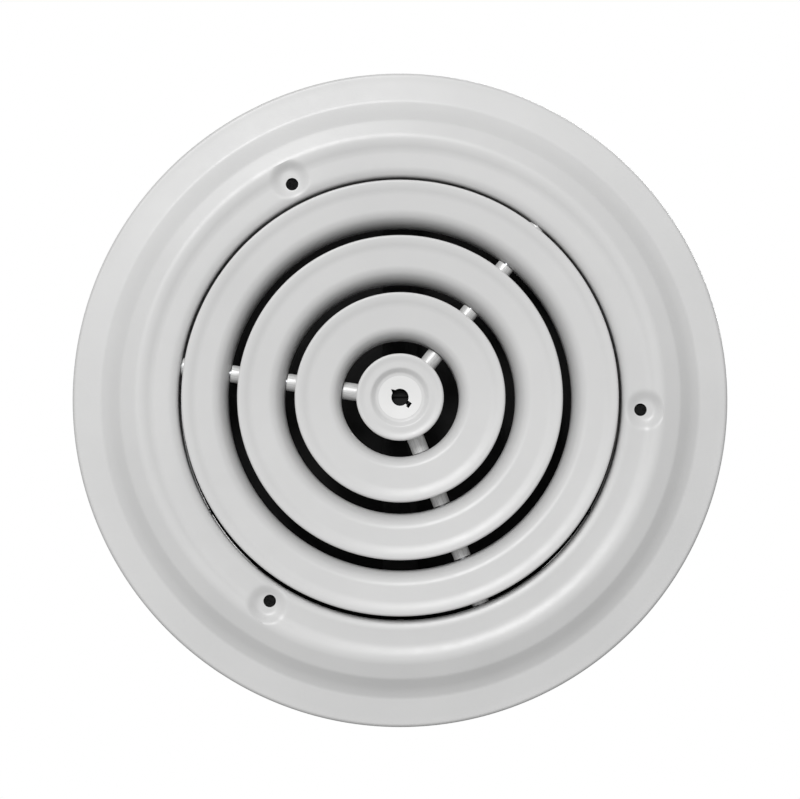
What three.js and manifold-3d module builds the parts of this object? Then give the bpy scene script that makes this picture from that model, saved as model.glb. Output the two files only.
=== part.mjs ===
// Round ceiling air diffuser: a stamped frame on a neck collar, three bell-mouth rings and a hub on
// three spokes, and a two-leaf butterfly damper in the neck that a screw behind the hub opens.
// Millimetres. +Z points up into the duct, the face looks down, and Z = 0 is the ceiling plane.
import * as THREE from 'three';
import { mergeVertices } from 'three/addons/utils/BufferGeometryUtils.js';
import Module from 'manifold-3d';

const wasm = await Module();
wasm.setup();

// ---------------------------------------------------------------- driving dimensions
const FACE_RADIUS = 149;
const NECK_RADIUS = 100.6;
const NECK_TOP = 44;
const FRAME_SHEET = 0.8;
const RIM_WIDTH = 2.4;
const RIM_HEIGHT = 2.6;
const RIM_CHAMFER = 0.6;
const RIM_FOLD = 0.2;
const FLANGE_TILT = -4;
const FLANGE_END = 138;
const FLANGE_FILLET = 13.5;
const SLOPE_TILT = -36;
const SLOPE_END = 126.2;
const SHOULDER_TILT = -15;
const SHOULDER_BEND = 5;
const CREST_BEND = 24;
const BAND_TILT = 15;
const BAND_BEND = 14;
const CURL_RADIUS = 4.8;
const FRAME_LIP_TOP = 0.5;
const BEND_STEPS = 2;
const CURL_STEPS = 3;
const FRAME_SEGMENTS = 48;

const SCREW_CIRCLE_RADIUS = 109.3;
const SCREW_HOLE_RADIUS = 2.85;
const SCREW_ANGLES = [-116.7, 2.7, 122.7];
const DIMPLE_RADIUS = 7.6;
const DIMPLE_DEPTH = 1.6;
const DIMPLE_FLOOR_RADIUS = 4.45;
const DIMPLE_SINK = 1;
const DIMPLE_SIDES = 16;

const SEAL_INNER_RADIUS = 104.8;
const SEAL_OUTER_RADIUS = 117;
const SEAL_THICKNESS = 5;

const RING_SHEET = 0.8;
const RING_HEM = 1.8;
const HEM_FOLD = 0.2;
const LIP_ROLL = 1;
const RING_TOP = 2.5;
const LIP_BEND = 14;
const LIP_TILT = 14;
const PLATE_TILT = 3;
const THROAT_BEND = 5;
const RINGS = [
  { name: 'inner_ring', throat: 26.7, lip: 47.7, lipZ: -18, segments: 28 },
  { name: 'middle_ring', throat: 52.3, lip: 73.8, lipZ: -16.5, segments: 36 },
  { name: 'outer_ring', throat: 78.0, lip: 99.15, lipZ: -15, segments: 44 },
];

const HUB_RADIUS = 19.8;
const HUB_LIP_Z = -19;
const HUB_DISH_RISE = 2.4;
const HUB_DISH_RADIUS = 14.6;
const HUB_BEND = 3.2;
const HUB_WALL_TILT = 34;
const HUB_HOLE_RADIUS = 3.9;
const HUB_SLOT_WIDTH = 1.8;
const HUB_SLOT_END = 5.9;
const HUB_SLOT_ANGLE = 36;
const HUB_POINT_RADIUS = 2;
const HUB_POINT_OFFSET = 3.5;
const HUB_POINT_ANGLE = -137;
const HUB_SEGMENTS = 28;
const CORE_RADIUS = 12;
const CORE_WALL = 1.2;
const CORE_SEGMENTS = 24;

const SPOKE_ANGLES = { a: -51.5, b: 68.5, c: 188.5 };
const SPOKE_Z = -4.5;
const ROD_RADIUS = 1.9;
const ROD_HEAD_RADIUS = 2.6;
const ROD_HEAD_THICKNESS = 1;
const ROD_HEAD_START = 102.4;
const TUBE_RADIUS = 3.95;
const TUBE_BORE_RADIUS = 2.4;
const TUBE_SEGMENTS = 16;

// Clearance between bodies, the overlap of shapes joined into one body, the overshoot of a cutter,
// and what is added to a radius so that flat facets don't close the gap round it.
const GAP = 0.3;
const JOIN = 0.1;
const REACH = 3;
const FACET_SLACK = 0.15;
const BOLT_SIDES = 12;
const WELD_DISTANCE = 1e-5;

const HINGE_Z = 32;
const HINGE_ROD_RADIUS = 1.7;
const HINGE_ROD_HALF_LENGTH = 99.4;
const LEAF_RADIUS = 97;
const LEAF_HALF_LENGTH = 94.5;
const LEAF_SHEET = 0.8;
const LEAF_EDGE = 3.6;
const KNUCKLE_RADIUS = 3;
const KNUCKLE_BORE_RADIUS = 2.15;
const KNUCKLE_LENGTH = 12;
const LEFT_KNUCKLES = [-72, -24, 56];
const RIGHT_KNUCKLES = [-56, 24, 72];
const LUG_REACH = 12;
const LUG_NOSE_RADIUS = 2;
const LUG_THICKNESS = 1.2;
const LUG_INSET = 0.4;
const LUG_FOOT = 5;
const LUG_CLEARANCE = 0.4;
const LUG_SEGMENTS = 6;
const LEAF_SEGMENTS = 16;
const LEAF_SWING = 80;

const SEAT_INNER_RADIUS = 92;
const SEAT_OUTER_RADIUS = 100.1;
const SEAT_SHEET = 1;
const SEAT_FLANGE_HEIGHT = 9;
const SEAT_RIVET_ANGLES = { a: 30, b: 150, c: 270 };
const SEAT_RIVET_DROP = 6;
const SEAT_SEGMENTS = 44;
const EAR_INNER = 97;
const EAR_HALF_WIDTH = 5;
const EAR_HEIGHT = 5;
const CLIP_RADIUS = 4;
const CLIP_THICKNESS = 1;

const BRIDGE_ANGLES = [90, -90];
const BRIDGE_Z = 11;
const BRIDGE_SHEET = 1.2;
const BRIDGE_HALF_WIDTH = 8;
const BRIDGE_HALF_LENGTH = 99.6;
const BRIDGE_TAB_HEIGHT = 11;
const BRIDGE_RIVET_RISE = 6.5;
const BRIDGE_RELIEF = 1;
const RIVET_RADIUS = 1.6;
const RIVET_HEAD_RADIUS = 3;
const RIVET_HEAD_THICKNESS = 1;

const SADDLE_HALF_LENGTH = 13;
const SADDLE_HALF_WIDTH = 3;
const SADDLE_SHEET = 1.5;
const SADDLE_ARM_INNER = 7.6;
const SADDLE_CLEARANCE = 0.5;
const SCREW_RADIUS = 2.5;
const SCREW_HEAD_RADIUS = 4.2;
const SCREW_HEAD_THICKNESS = 3.2;
const SCREW_HEAD_CHAMFER = 1;
const NUT_RADIUS = 4.8;
const NUT_THICKNESS = 4;
const NUT_SIDES = 6;
const DRIVER_SLOT_WIDTH = 1.2;
const DRIVER_SLOT_DEPTH = 1.4;

// ---------------------------------------------------------------- materials
const paint = () => new THREE.MeshStandardMaterial({ color: 0xd9d9d7, roughness: 0.5, metalness: 0 });
const brightTube = () => new THREE.MeshStandardMaterial({ color: 0xe2e2e0, roughness: 0.22, metalness: 0 });
const blackSteel = () => new THREE.MeshStandardMaterial({ color: 0x0d0d0d, roughness: 0.7, metalness: 0 });
const blackFoam = () => new THREE.MeshStandardMaterial({ color: 0x0b0b0b, roughness: 1, metalness: 0 });
const zincSteel = () => new THREE.MeshStandardMaterial({ color: 0x8c9094, roughness: 0.4, metalness: 0.9 });

// ---------------------------------------------------------------- solids
const radians = (degrees) => (degrees * Math.PI) / 180;

// A body of revolution about Z from a closed outline of [radius, height] pairs, faces out.
function turned(outline, segments) {
  let twiceArea = 0;
  outline.forEach(([r, z], i) => {
    const [nextR, nextZ] = outline[(i + 1) % outline.length];
    twiceArea += r * nextZ - nextR * z;
  });
  const ordered = twiceArea > 0 ? [...outline] : [...outline].reverse();
  const points = ordered.map(([r, z]) => new THREE.Vector2(r, z));
  points.push(points[0].clone());
  return new THREE.LatheGeometry(points, segments).rotateX(Math.PI / 2);
}

// A round bar from z0 to z1 that stands on Z.
function bar(radius, z0, z1, sides = BOLT_SIDES) {
  return new THREE.CylinderGeometry(radius, radius, z1 - z0, sides)
    .rotateX(Math.PI / 2)
    .translate(0, 0, (z0 + z1) / 2);
}

function box(x0, x1, y0, y1, z0, z1) {
  return new THREE.BoxGeometry(x1 - x0, y1 - y0, z1 - z0)
    .translate((x0 + x1) / 2, (y0 + y1) / 2, (z0 + z1) / 2);
}

// Lays a geometry that stands on Z along the radius at an angle, at the given height.
function radial(geometry, angle, height) {
  return geometry.rotateY(Math.PI / 2).rotateZ(radians(angle)).translate(0, 0, height);
}

function toSolid(geometry) {
  const bare = geometry.clone();
  bare.deleteAttribute('normal');
  bare.deleteAttribute('uv');
  const merged = mergeVertices(bare, WELD_DISTANCE);
  const corners = merged.index.array;
  const kept = [];
  for (let i = 0; i < corners.length; i += 3) {
    const [a, b, c] = [corners[i], corners[i + 1], corners[i + 2]];
    if (a !== b && b !== c && c !== a) {
      kept.push(a, b, c);
    }
  }
  return new wasm.Manifold(new wasm.Mesh({
    numProp: 3,
    vertProperties: new Float32Array(merged.attributes.position.array),
    triVerts: new Uint32Array(kept),
  }));
}

function toGeometry(solid) {
  const mesh = solid.getMesh();
  const geometry = new THREE.BufferGeometry();
  geometry.setAttribute('position', new THREE.BufferAttribute(new Float32Array(mesh.vertProperties), 3));
  geometry.setIndex(new THREE.BufferAttribute(new Uint32Array(mesh.triVerts), 1));
  geometry.computeVertexNormals();
  return geometry;
}

// Joins the first geometry with those in added, then takes away those in removed.
function combine(base, added, removed = []) {
  let solid = toSolid(base);
  added.forEach((geometry) => {
    solid = solid.add(toSolid(geometry));
  });
  removed.forEach((geometry) => {
    solid = solid.subtract(toSolid(geometry));
  });
  return toGeometry(solid);
}

const group = new THREE.Group();

function place(name, geometry, material) {
  const mesh = new THREE.Mesh(geometry, material);
  mesh.name = name;
  group.add(mesh);
  return mesh;
}

// ---------------------------------------------------------------- pressed-sheet outlines
// Face-side stations are [radius, height, tilt]. Tilt is the angle in degrees between the face and
// level, positive where the face looks towards the axis. The back is offset by the sheet thickness.
function sheetOutline(stations, thickness) {
  const back = stations.map(([r, z, tilt]) => [
    r + thickness * Math.sin(radians(tilt)),
    z + thickness * Math.cos(radians(tilt)),
  ]);
  return [...stations.map(([r, z]) => [r, z]), ...back.reverse()];
}

// Stations along an arc that starts at a point with one tilt and ends with another.
// Positive tilts climb as the radius falls.
function bend(start, radius, fromTilt, toTilt, steps) {
  const [r0, z0] = start;
  const stations = [];
  for (let i = 1; i <= steps; i += 1) {
    const tilt = fromTilt + ((toTilt - fromTilt) * i) / steps;
    const turn = Math.sign(toTilt - fromTilt) * radius;
    const run = turn * (Math.sin(radians(tilt)) - Math.sin(radians(fromTilt)));
    const rise = turn * (Math.cos(radians(fromTilt)) - Math.cos(radians(tilt)));
    stations.push([r0 - run, z0 + rise, tilt]);
  }
  return stations;
}

// The station at a radius further along a straight stretch.
function straightTo([r0, z0, tilt], radius) {
  return [radius, z0 + (r0 - radius) * Math.tan(radians(tilt)), tilt];
}

// ---------------------------------------------------------------- frame
// From the rim inwards: flange, fillet, outward slope, rounded crest, inward step, flat band, curl
// and upright lip.
function frameStations() {
  const stations = [[FACE_RADIUS - RIM_WIDTH, -RIM_HEIGHT, FLANGE_TILT]];
  const lineTo = (radius) => stations.push(straightTo(stations.at(-1), radius));
  const bendTo = (radius, tilt, steps = BEND_STEPS) => {
    stations.push(...bend(stations.at(-1), radius, stations.at(-1)[2], tilt, steps));
  };
  lineTo(FLANGE_END);
  bendTo(FLANGE_FILLET, SLOPE_TILT, CURL_STEPS);
  lineTo(SLOPE_END);
  bendTo(SHOULDER_BEND, SHOULDER_TILT);
  bendTo(CREST_BEND, 0);
  bendTo(BAND_BEND, BAND_TILT);
  bendTo(BAND_BEND, 0);
  lineTo(NECK_RADIUS + CURL_RADIUS);
  bendTo(CURL_RADIUS, 90, CURL_STEPS);
  stations.push([NECK_RADIUS, FRAME_LIP_TOP, 90]);
  return stations;
}

const bandZ = frameStations().find(([r, , tilt]) => tilt === 0 && r === NECK_RADIUS + CURL_RADIUS)[1];
const dimpleTop = bandZ + FRAME_SHEET + DIMPLE_DEPTH;
const dimpleFloor = dimpleTop - FRAME_SHEET;

// The pressed metal round a screw hole.
function makeDimple() {
  return turned([
    [SCREW_HOLE_RADIUS, dimpleFloor],
    [DIMPLE_FLOOR_RADIUS, dimpleFloor],
    [DIMPLE_RADIUS, bandZ - DIMPLE_SINK],
    [DIMPLE_RADIUS + FRAME_SHEET, bandZ - DIMPLE_SINK],
    [DIMPLE_RADIUS + FRAME_SHEET, bandZ + FRAME_SHEET / 2],
    [DIMPLE_FLOOR_RADIUS + FRAME_SHEET, dimpleTop],
    [SCREW_HOLE_RADIUS, dimpleTop],
  ], DIMPLE_SIDES);
}

// The open space in front of a dimple and through its hole.
function makeDimpleSpace() {
  const below = bandZ - DIMPLE_SINK - SEAL_THICKNESS;
  const above = dimpleTop + DIMPLE_DEPTH;
  return turned([
    [0, below],
    [DIMPLE_RADIUS, below],
    [DIMPLE_RADIUS, bandZ - DIMPLE_SINK],
    [DIMPLE_FLOOR_RADIUS, dimpleFloor],
    [SCREW_HOLE_RADIUS, dimpleFloor],
    [SCREW_HOLE_RADIUS, above],
    [0, above],
  ], DIMPLE_SIDES);
}

function toScrew(geometry, angle) {
  const x = SCREW_CIRCLE_RADIUS * Math.cos(radians(angle));
  const y = SCREW_CIRCLE_RADIUS * Math.sin(radians(angle));
  return geometry.translate(x, y, 0);
}

function makeFrame() {
  const sheet = sheetOutline(frameStations(), FRAME_SHEET);
  const flangeBack = sheet.at(-1)[1];
  const outline = [
    [FACE_RADIUS - RIM_CHAMFER, -RIM_HEIGHT],
    ...sheet.slice(0, -1),
    [FACE_RADIUS - RIM_WIDTH - RIM_FOLD, flangeBack],
    [FACE_RADIUS - RIM_WIDTH, 0],
    [FACE_RADIUS, 0],
    [FACE_RADIUS, -RIM_HEIGHT + RIM_CHAMFER],
  ];
  const dimples = SCREW_ANGLES.map((angle) => toScrew(makeDimple(), angle));
  const spaces = SCREW_ANGLES.map((angle) => toScrew(makeDimpleSpace(), angle));
  const rodHoles = wallHoles(Object.values(SPOKE_ANGLES), ROD_RADIUS + GAP, NECK_RADIUS, SPOKE_Z);
  return combine(turned(outline, FRAME_SEGMENTS), dimples, [...spaces, ...rodHoles]);
}

// Holes through a wall at the given radius, drilled along the radius.
function wallHoles(angles, holeRadius, wallRadius, height) {
  return angles.map((angle) =>
    radial(bar(holeRadius, wallRadius - REACH, wallRadius + REACH), angle, height));
}

// The collar is butt-welded to the frame's upright lip and goes up into the duct.
function makeNeckCollar() {
  const bottom = FRAME_LIP_TOP + GAP;
  const outline = [
    [NECK_RADIUS, bottom],
    [NECK_RADIUS + FRAME_SHEET, bottom],
    [NECK_RADIUS + FRAME_SHEET, NECK_TOP],
    [NECK_RADIUS, NECK_TOP],
  ];
  return combine(turned(outline, FRAME_SEGMENTS), [], [
    ...wallHoles(Object.values(SEAT_RIVET_ANGLES), RIVET_RADIUS + GAP, NECK_RADIUS, seatRivetZ),
    ...wallHoles(BRIDGE_ANGLES, RIVET_RADIUS + GAP, NECK_RADIUS, bridgeRivetZ),
  ]);
}

// A foam ring on the back of the band, hollowed over the dimples, that the three screws pierce.
function makeSeal() {
  const bottom = bandZ + FRAME_SHEET + GAP;
  const ring = turned([
    [SEAL_INNER_RADIUS, bottom],
    [SEAL_OUTER_RADIUS, bottom],
    [SEAL_OUTER_RADIUS, bottom + SEAL_THICKNESS],
    [SEAL_INNER_RADIUS, bottom + SEAL_THICKNESS],
  ], FRAME_SEGMENTS);
  const hollows = SCREW_ANGLES.map((angle) =>
    toScrew(bar(DIMPLE_RADIUS + FRAME_SHEET + GAP, bottom - REACH, dimpleTop + GAP), angle));
  return combine(ring, [], hollows);
}

// ---------------------------------------------------------------- rings and hub
// From the lip inwards: a shallow curved step, a nearly level plate, and the throat wall.
function ringStations(ring) {
  const lipStart = [ring.lip - LIP_ROLL, ring.lipZ, 0];
  const stations = [lipStart, ...bend(lipStart, LIP_BEND, 0, LIP_TILT, BEND_STEPS)];
  stations.push(...bend(stations.at(-1), LIP_BEND, LIP_TILT, PLATE_TILT, BEND_STEPS));
  const plateEnd = ring.throat + THROAT_BEND * (1 - Math.sin(radians(PLATE_TILT)));
  stations.push(straightTo(stations.at(-1), plateEnd));
  stations.push(...bend(stations.at(-1), THROAT_BEND, PLATE_TILT, 90, CURL_STEPS));
  stations.push([ring.throat, RING_TOP, 90]);
  return stations;
}

// The outline of a pressed disc from its stations, with the hem rolled back behind its lip.
function hemmedOutline(stations, lip, lipZ) {
  return [
    ...sheetOutline(stations, RING_SHEET).slice(0, -1),
    [lip - RING_HEM, lipZ + RING_SHEET + HEM_FOLD],
    [lip - RING_HEM, lipZ + RING_HEM],
    [lip - LIP_ROLL / 2, lipZ + RING_HEM],
    [lip, lipZ + RING_HEM / 2],
  ];
}

function makeRing(ring) {
  const outline = hemmedOutline(ringStations(ring), ring.lip, ring.lipZ);
  const rodHoles = wallHoles(Object.values(SPOKE_ANGLES), ROD_RADIUS + GAP, ring.throat, SPOKE_Z);
  return combine(turned(outline, ring.segments), [], rodHoles);
}

const hubFloorZ = HUB_LIP_Z + HUB_DISH_RISE;

// From the lip inwards: a level rim, the sloped wall of the dish, and its floor.
function hubStations() {
  const bendRise = HUB_BEND * (1 - Math.cos(radians(HUB_WALL_TILT)));
  const wallRun = (HUB_DISH_RISE - 2 * bendRise) / Math.tan(radians(HUB_WALL_TILT));
  const stations = [[HUB_RADIUS - LIP_ROLL, HUB_LIP_Z, 0], [HUB_DISH_RADIUS, HUB_LIP_Z, 0]];
  stations.push(...bend(stations.at(-1), HUB_BEND, 0, HUB_WALL_TILT, BEND_STEPS));
  stations.push(straightTo(stations.at(-1), stations.at(-1)[0] - wallRun));
  stations.push(...bend(stations.at(-1), HUB_BEND, HUB_WALL_TILT, 0, BEND_STEPS));
  stations.push([HUB_HOLE_RADIUS, hubFloorZ, 0]);
  return stations;
}

function makeHubDisc() {
  const outline = hemmedOutline(hubStations(), HUB_RADIUS, HUB_LIP_Z);
  const slotNotch = box(
    HUB_HOLE_RADIUS / 2, HUB_SLOT_END, -HUB_SLOT_WIDTH / 2, HUB_SLOT_WIDTH / 2,
    hubFloorZ - REACH, hubFloorZ + REACH,
  ).rotateZ(radians(HUB_SLOT_ANGLE));
  const pointNotch = bar(HUB_POINT_RADIUS, hubFloorZ - REACH, hubFloorZ + REACH, 3)
    .rotateZ(radians(90))
    .translate(HUB_POINT_OFFSET, 0, 0)
    .rotateZ(radians(HUB_POINT_ANGLE));
  return combine(turned(outline, HUB_SEGMENTS), [], [slotNotch, pointNotch]);
}

function makeHubCore() {
  const bottom = hubFloorZ + RING_SHEET + GAP;
  const outline = [
    [CORE_RADIUS - CORE_WALL, bottom],
    [CORE_RADIUS, bottom],
    [CORE_RADIUS, RING_TOP],
    [CORE_RADIUS - CORE_WALL, RING_TOP],
  ];
  const rodHoles = wallHoles(Object.values(SPOKE_ANGLES), ROD_RADIUS + GAP, CORE_RADIUS, SPOKE_Z);
  return combine(turned(outline, CORE_SEGMENTS), [], rodHoles);
}

// ---------------------------------------------------------------- spokes
// The rod runs from inside the hub core to a flat head on the outside of the frame's lip.
function makeSpokeRod(angle) {
  const rod = bar(ROD_RADIUS, CORE_RADIUS - 2 * CORE_WALL, ROD_HEAD_START + ROD_HEAD_THICKNESS / 2);
  const head = bar(ROD_HEAD_RADIUS, ROD_HEAD_START, ROD_HEAD_START + ROD_HEAD_THICKNESS);
  return radial(combine(rod, [head]), angle, SPOKE_Z);
}

function makeSpacer(angle, from, to) {
  const wallSag = (TUBE_RADIUS * TUBE_RADIUS) / (2 * to) + FACET_SLACK;
  const start = from + GAP;
  const end = to - GAP - wallSag;
  const outline = [
    [TUBE_BORE_RADIUS, start],
    [TUBE_RADIUS, start],
    [TUBE_RADIUS, end],
    [TUBE_BORE_RADIUS, end],
  ];
  return radial(turned(outline, TUBE_SEGMENTS), angle, SPOKE_Z);
}

// ---------------------------------------------------------------- damper
const seatTop = HINGE_Z - LEAF_SHEET / 2 - GAP;
const seatRivetZ = seatTop - SEAT_RIVET_DROP;
const bridgeRivetZ = BRIDGE_Z + BRIDGE_RIVET_RISE;

// The seat is an angle-section ring: a shelf that the leaves rest on and a flange on the neck wall.
// Two ears on it carry the hinge rod.
function makeDamperSeat() {
  const shelf = [
    [SEAT_INNER_RADIUS, seatTop - SEAT_SHEET],
    [SEAT_OUTER_RADIUS - SEAT_SHEET, seatTop - SEAT_SHEET],
    [SEAT_OUTER_RADIUS - SEAT_SHEET, seatTop - SEAT_FLANGE_HEIGHT],
    [SEAT_OUTER_RADIUS, seatTop - SEAT_FLANGE_HEIGHT],
    [SEAT_OUTER_RADIUS, seatTop],
    [SEAT_INNER_RADIUS, seatTop],
  ];
  const ears = [];
  const cuts = [];
  [1, -1].forEach((side) => {
    const ear = box(
      -EAR_HALF_WIDTH, EAR_HALF_WIDTH, EAR_INNER, EAR_INNER + SEAT_SHEET,
      seatTop - SEAT_SHEET / 2, HINGE_Z + EAR_HEIGHT,
    );
    const bridgeRelief = box(
      -BRIDGE_HALF_WIDTH - BRIDGE_RELIEF, BRIDGE_HALF_WIDTH + BRIDGE_RELIEF,
      EAR_INNER, SEAT_OUTER_RADIUS + REACH,
      seatTop - SEAT_FLANGE_HEIGHT - REACH, seatTop - SEAT_SHEET - JOIN,
    );
    const clipRelief = box(
      -CLIP_RADIUS - 2 * GAP, CLIP_RADIUS + 2 * GAP, SEAT_INNER_RADIUS - REACH, EAR_INNER,
      seatTop - SEAT_SHEET - REACH, seatTop + REACH,
    );
    const turn = side > 0 ? 0 : Math.PI;
    ears.push(ear.rotateZ(turn));
    const rodHole = bar(HINGE_ROD_RADIUS + GAP + FACET_SLACK, EAR_INNER - REACH, SEAT_OUTER_RADIUS + REACH);
    cuts.push(radial(rodHole, 90 * side, HINGE_Z));
    cuts.push(bridgeRelief.rotateZ(turn));
    cuts.push(clipRelief.rotateZ(turn));
  });
  const rivetHoles = wallHoles(
    Object.values(SEAT_RIVET_ANGLES), RIVET_RADIUS + GAP, SEAT_OUTER_RADIUS, seatRivetZ,
  );
  return combine(turned(shelf, SEAT_SEGMENTS), ears, [...cuts, ...rivetHoles]);
}

// A rivet through the neck wall and the sheet inside it, with a head at both ends.
function makeWallRivet(angle, height, sheetInner) {
  const inner = sheetInner - GAP - RIVET_HEAD_THICKNESS;
  const outer = NECK_RADIUS + FRAME_SHEET + GAP;
  const shank = bar(RIVET_RADIUS, inner, outer + RIVET_HEAD_THICKNESS);
  const innerHead = bar(RIVET_HEAD_RADIUS, inner, inner + RIVET_HEAD_THICKNESS);
  const outerHead = bar(RIVET_HEAD_RADIUS, outer, outer + RIVET_HEAD_THICKNESS);
  return radial(combine(shank, [innerHead, outerHead]), angle, height);
}

// A flat shape drawn in X and Y, given a thickness that is centred on Z = 0.
function pressed(shape, thickness, curveSegments) {
  return new THREE.ExtrudeGeometry(shape, { depth: thickness, bevelEnabled: false, curveSegments })
    .translate(0, 0, -thickness / 2);
}

// One leaf, drawn on the +X side of the hinge rod: a trimmed half disc with rolled knuckles on the
// rod and a bent lug below, whose round nose the saddle lifts.
function leafOnRight(knuckles) {
  const half = new THREE.Shape();
  const corner = Math.sqrt(LEAF_RADIUS ** 2 - LEAF_HALF_LENGTH ** 2);
  const startAngle = Math.atan2(-LEAF_HALF_LENGTH, corner);
  half.moveTo(LEAF_EDGE, -LEAF_HALF_LENGTH);
  half.lineTo(corner, -LEAF_HALF_LENGTH);
  half.absarc(0, 0, LEAF_RADIUS, startAngle, -startAngle, false);
  half.lineTo(LEAF_EDGE, LEAF_HALF_LENGTH);
  half.closePath();
  const plate = pressed(half, LEAF_SHEET, LEAF_SEGMENTS);
  const added = [makeLug()];
  const removed = [];
  knuckles.forEach((y) => {
    const [near, far] = [y - KNUCKLE_LENGTH / 2, y + KNUCKLE_LENGTH / 2];
    added.push(bar(KNUCKLE_RADIUS, near, far).rotateX(-Math.PI / 2));
    added.push(box(
      KNUCKLE_BORE_RADIUS, LEAF_EDGE + LEAF_SHEET, near, far, -LEAF_SHEET / 2, LEAF_SHEET / 2,
    ));
    removed.push(bar(KNUCKLE_BORE_RADIUS, y - KNUCKLE_LENGTH, y + KNUCKLE_LENGTH).rotateX(-Math.PI / 2));
  });
  return combine(plate, added, removed);
}

// The lug starts half the swing below level, so that it lifts nearly in step with the leaf's angle.
const lugX = LUG_REACH * Math.cos(radians(LEAF_SWING / 2));
const lugDrop = LUG_REACH * Math.sin(radians(LEAF_SWING / 2));

function makeLug() {
  const side = new THREE.Shape();
  side.moveTo(LEAF_EDGE + LUG_INSET, 0);
  side.lineTo(lugX - LUG_NOSE_RADIUS, -lugDrop);
  side.absarc(lugX, -lugDrop, LUG_NOSE_RADIUS, Math.PI, 2 * Math.PI, false);
  side.lineTo(lugX + LUG_NOSE_RADIUS + LUG_FOOT, 0);
  side.closePath();
  return pressed(side, LUG_THICKNESS, LUG_SEGMENTS).rotateX(Math.PI / 2);
}

function makeBridge() {
  const strap = box(
    -BRIDGE_HALF_WIDTH, BRIDGE_HALF_WIDTH, -BRIDGE_HALF_LENGTH, BRIDGE_HALF_LENGTH,
    BRIDGE_Z, BRIDGE_Z + BRIDGE_SHEET,
  );
  const tabs = [1, -1].map((side) => {
    const outer = side * BRIDGE_HALF_LENGTH;
    const inner = side * (BRIDGE_HALF_LENGTH - BRIDGE_SHEET);
    return box(
      -BRIDGE_HALF_WIDTH, BRIDGE_HALF_WIDTH, Math.min(outer, inner), Math.max(outer, inner),
      BRIDGE_Z + JOIN, BRIDGE_Z + BRIDGE_TAB_HEIGHT,
    );
  });
  const holes = wallHoles(BRIDGE_ANGLES, RIVET_RADIUS + GAP, BRIDGE_HALF_LENGTH, bridgeRivetZ);
  holes.push(bar(SCREW_RADIUS + GAP, BRIDGE_Z - REACH, BRIDGE_Z + BRIDGE_SHEET + REACH));
  return combine(strap, tabs, holes);
}

const saddleBottom = BRIDGE_Z + BRIDGE_SHEET + SADDLE_CLEARANCE;
const fingerTop = HINGE_Z - lugDrop - LUG_NOSE_RADIUS - LUG_CLEARANCE;
const screwTravel = 2 * lugDrop;

function makeSaddle() {
  const web = box(
    -SADDLE_HALF_LENGTH, SADDLE_HALF_LENGTH, -SADDLE_HALF_WIDTH, SADDLE_HALF_WIDTH,
    saddleBottom, saddleBottom + SADDLE_SHEET,
  );
  const arms = [];
  [1, -1].forEach((side) => {
    const inner = side * (SADDLE_HALF_LENGTH - SADDLE_SHEET);
    const outer = side * SADDLE_HALF_LENGTH;
    const lip = side * SADDLE_ARM_INNER;
    arms.push(box(
      Math.min(inner, outer), Math.max(inner, outer), -SADDLE_HALF_WIDTH, SADDLE_HALF_WIDTH,
      saddleBottom + JOIN, fingerTop,
    ));
    arms.push(box(
      Math.min(lip, outer), Math.max(lip, outer), -SADDLE_HALF_WIDTH, SADDLE_HALF_WIDTH,
      fingerTop - SADDLE_SHEET, fingerTop,
    ));
  });
  return combine(web, arms);
}

function makeAdjustingScrew() {
  const headTop = BRIDGE_Z - NUT_THICKNESS - GAP - screwTravel - GAP;
  const headBottom = headTop - SCREW_HEAD_THICKNESS;
  const shank = bar(SCREW_RADIUS, headTop - JOIN, saddleBottom - GAP);
  const head = turned([
    [0, headBottom],
    [SCREW_HEAD_RADIUS - SCREW_HEAD_CHAMFER, headBottom],
    [SCREW_HEAD_RADIUS, headBottom + SCREW_HEAD_CHAMFER],
    [SCREW_HEAD_RADIUS, headTop],
    [0, headTop],
  ], BOLT_SIDES);
  const slot = box(
    -SCREW_HEAD_RADIUS - REACH, SCREW_HEAD_RADIUS + REACH, -DRIVER_SLOT_WIDTH / 2, DRIVER_SLOT_WIDTH / 2,
    headBottom - REACH, headBottom + DRIVER_SLOT_DEPTH,
  );
  return combine(head, [shank], [slot]);
}

function makeNut() {
  const bottom = BRIDGE_Z - GAP - NUT_THICKNESS;
  const body = bar(NUT_RADIUS, bottom, BRIDGE_Z - GAP, NUT_SIDES);
  return combine(body, [], [bar(SCREW_RADIUS + GAP, bottom - REACH, BRIDGE_Z + REACH)]);
}

function makeClip(side) {
  const inner = EAR_INNER - GAP - CLIP_THICKNESS;
  const outline = [
    [HINGE_ROD_RADIUS + GAP, inner],
    [CLIP_RADIUS, inner],
    [CLIP_RADIUS, inner + CLIP_THICKNESS],
    [HINGE_ROD_RADIUS + GAP, inner + CLIP_THICKNESS],
  ];
  return radial(turned(outline, BOLT_SIDES), 90 * side, HINGE_Z);
}

// ---------------------------------------------------------------- assembly
place('ceiling_frame', makeFrame(), paint());
place('neck_collar', makeNeckCollar(), paint());
place('neck_seal', makeSeal(), blackFoam());
RINGS.forEach((ring) => place(ring.name, makeRing(ring), paint()));
place('hub_disc', makeHubDisc(), paint());
place('hub_core', makeHubCore(), paint());

const spans = [
  ['hub', CORE_RADIUS, RINGS[0].throat],
  ['inner', RINGS[0].throat + RING_SHEET, RINGS[1].throat],
  ['middle', RINGS[1].throat + RING_SHEET, RINGS[2].throat],
  ['outer', RINGS[2].throat + RING_SHEET, NECK_RADIUS],
];
Object.entries(SPOKE_ANGLES).forEach(([letter, angle]) => {
  place(`spoke_rod_${letter}`, makeSpokeRod(angle), zincSteel());
  spans.forEach(([where, from, to]) => {
    place(`spacer_${where}_${letter}`, makeSpacer(angle, from, to), brightTube());
  });
});

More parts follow.
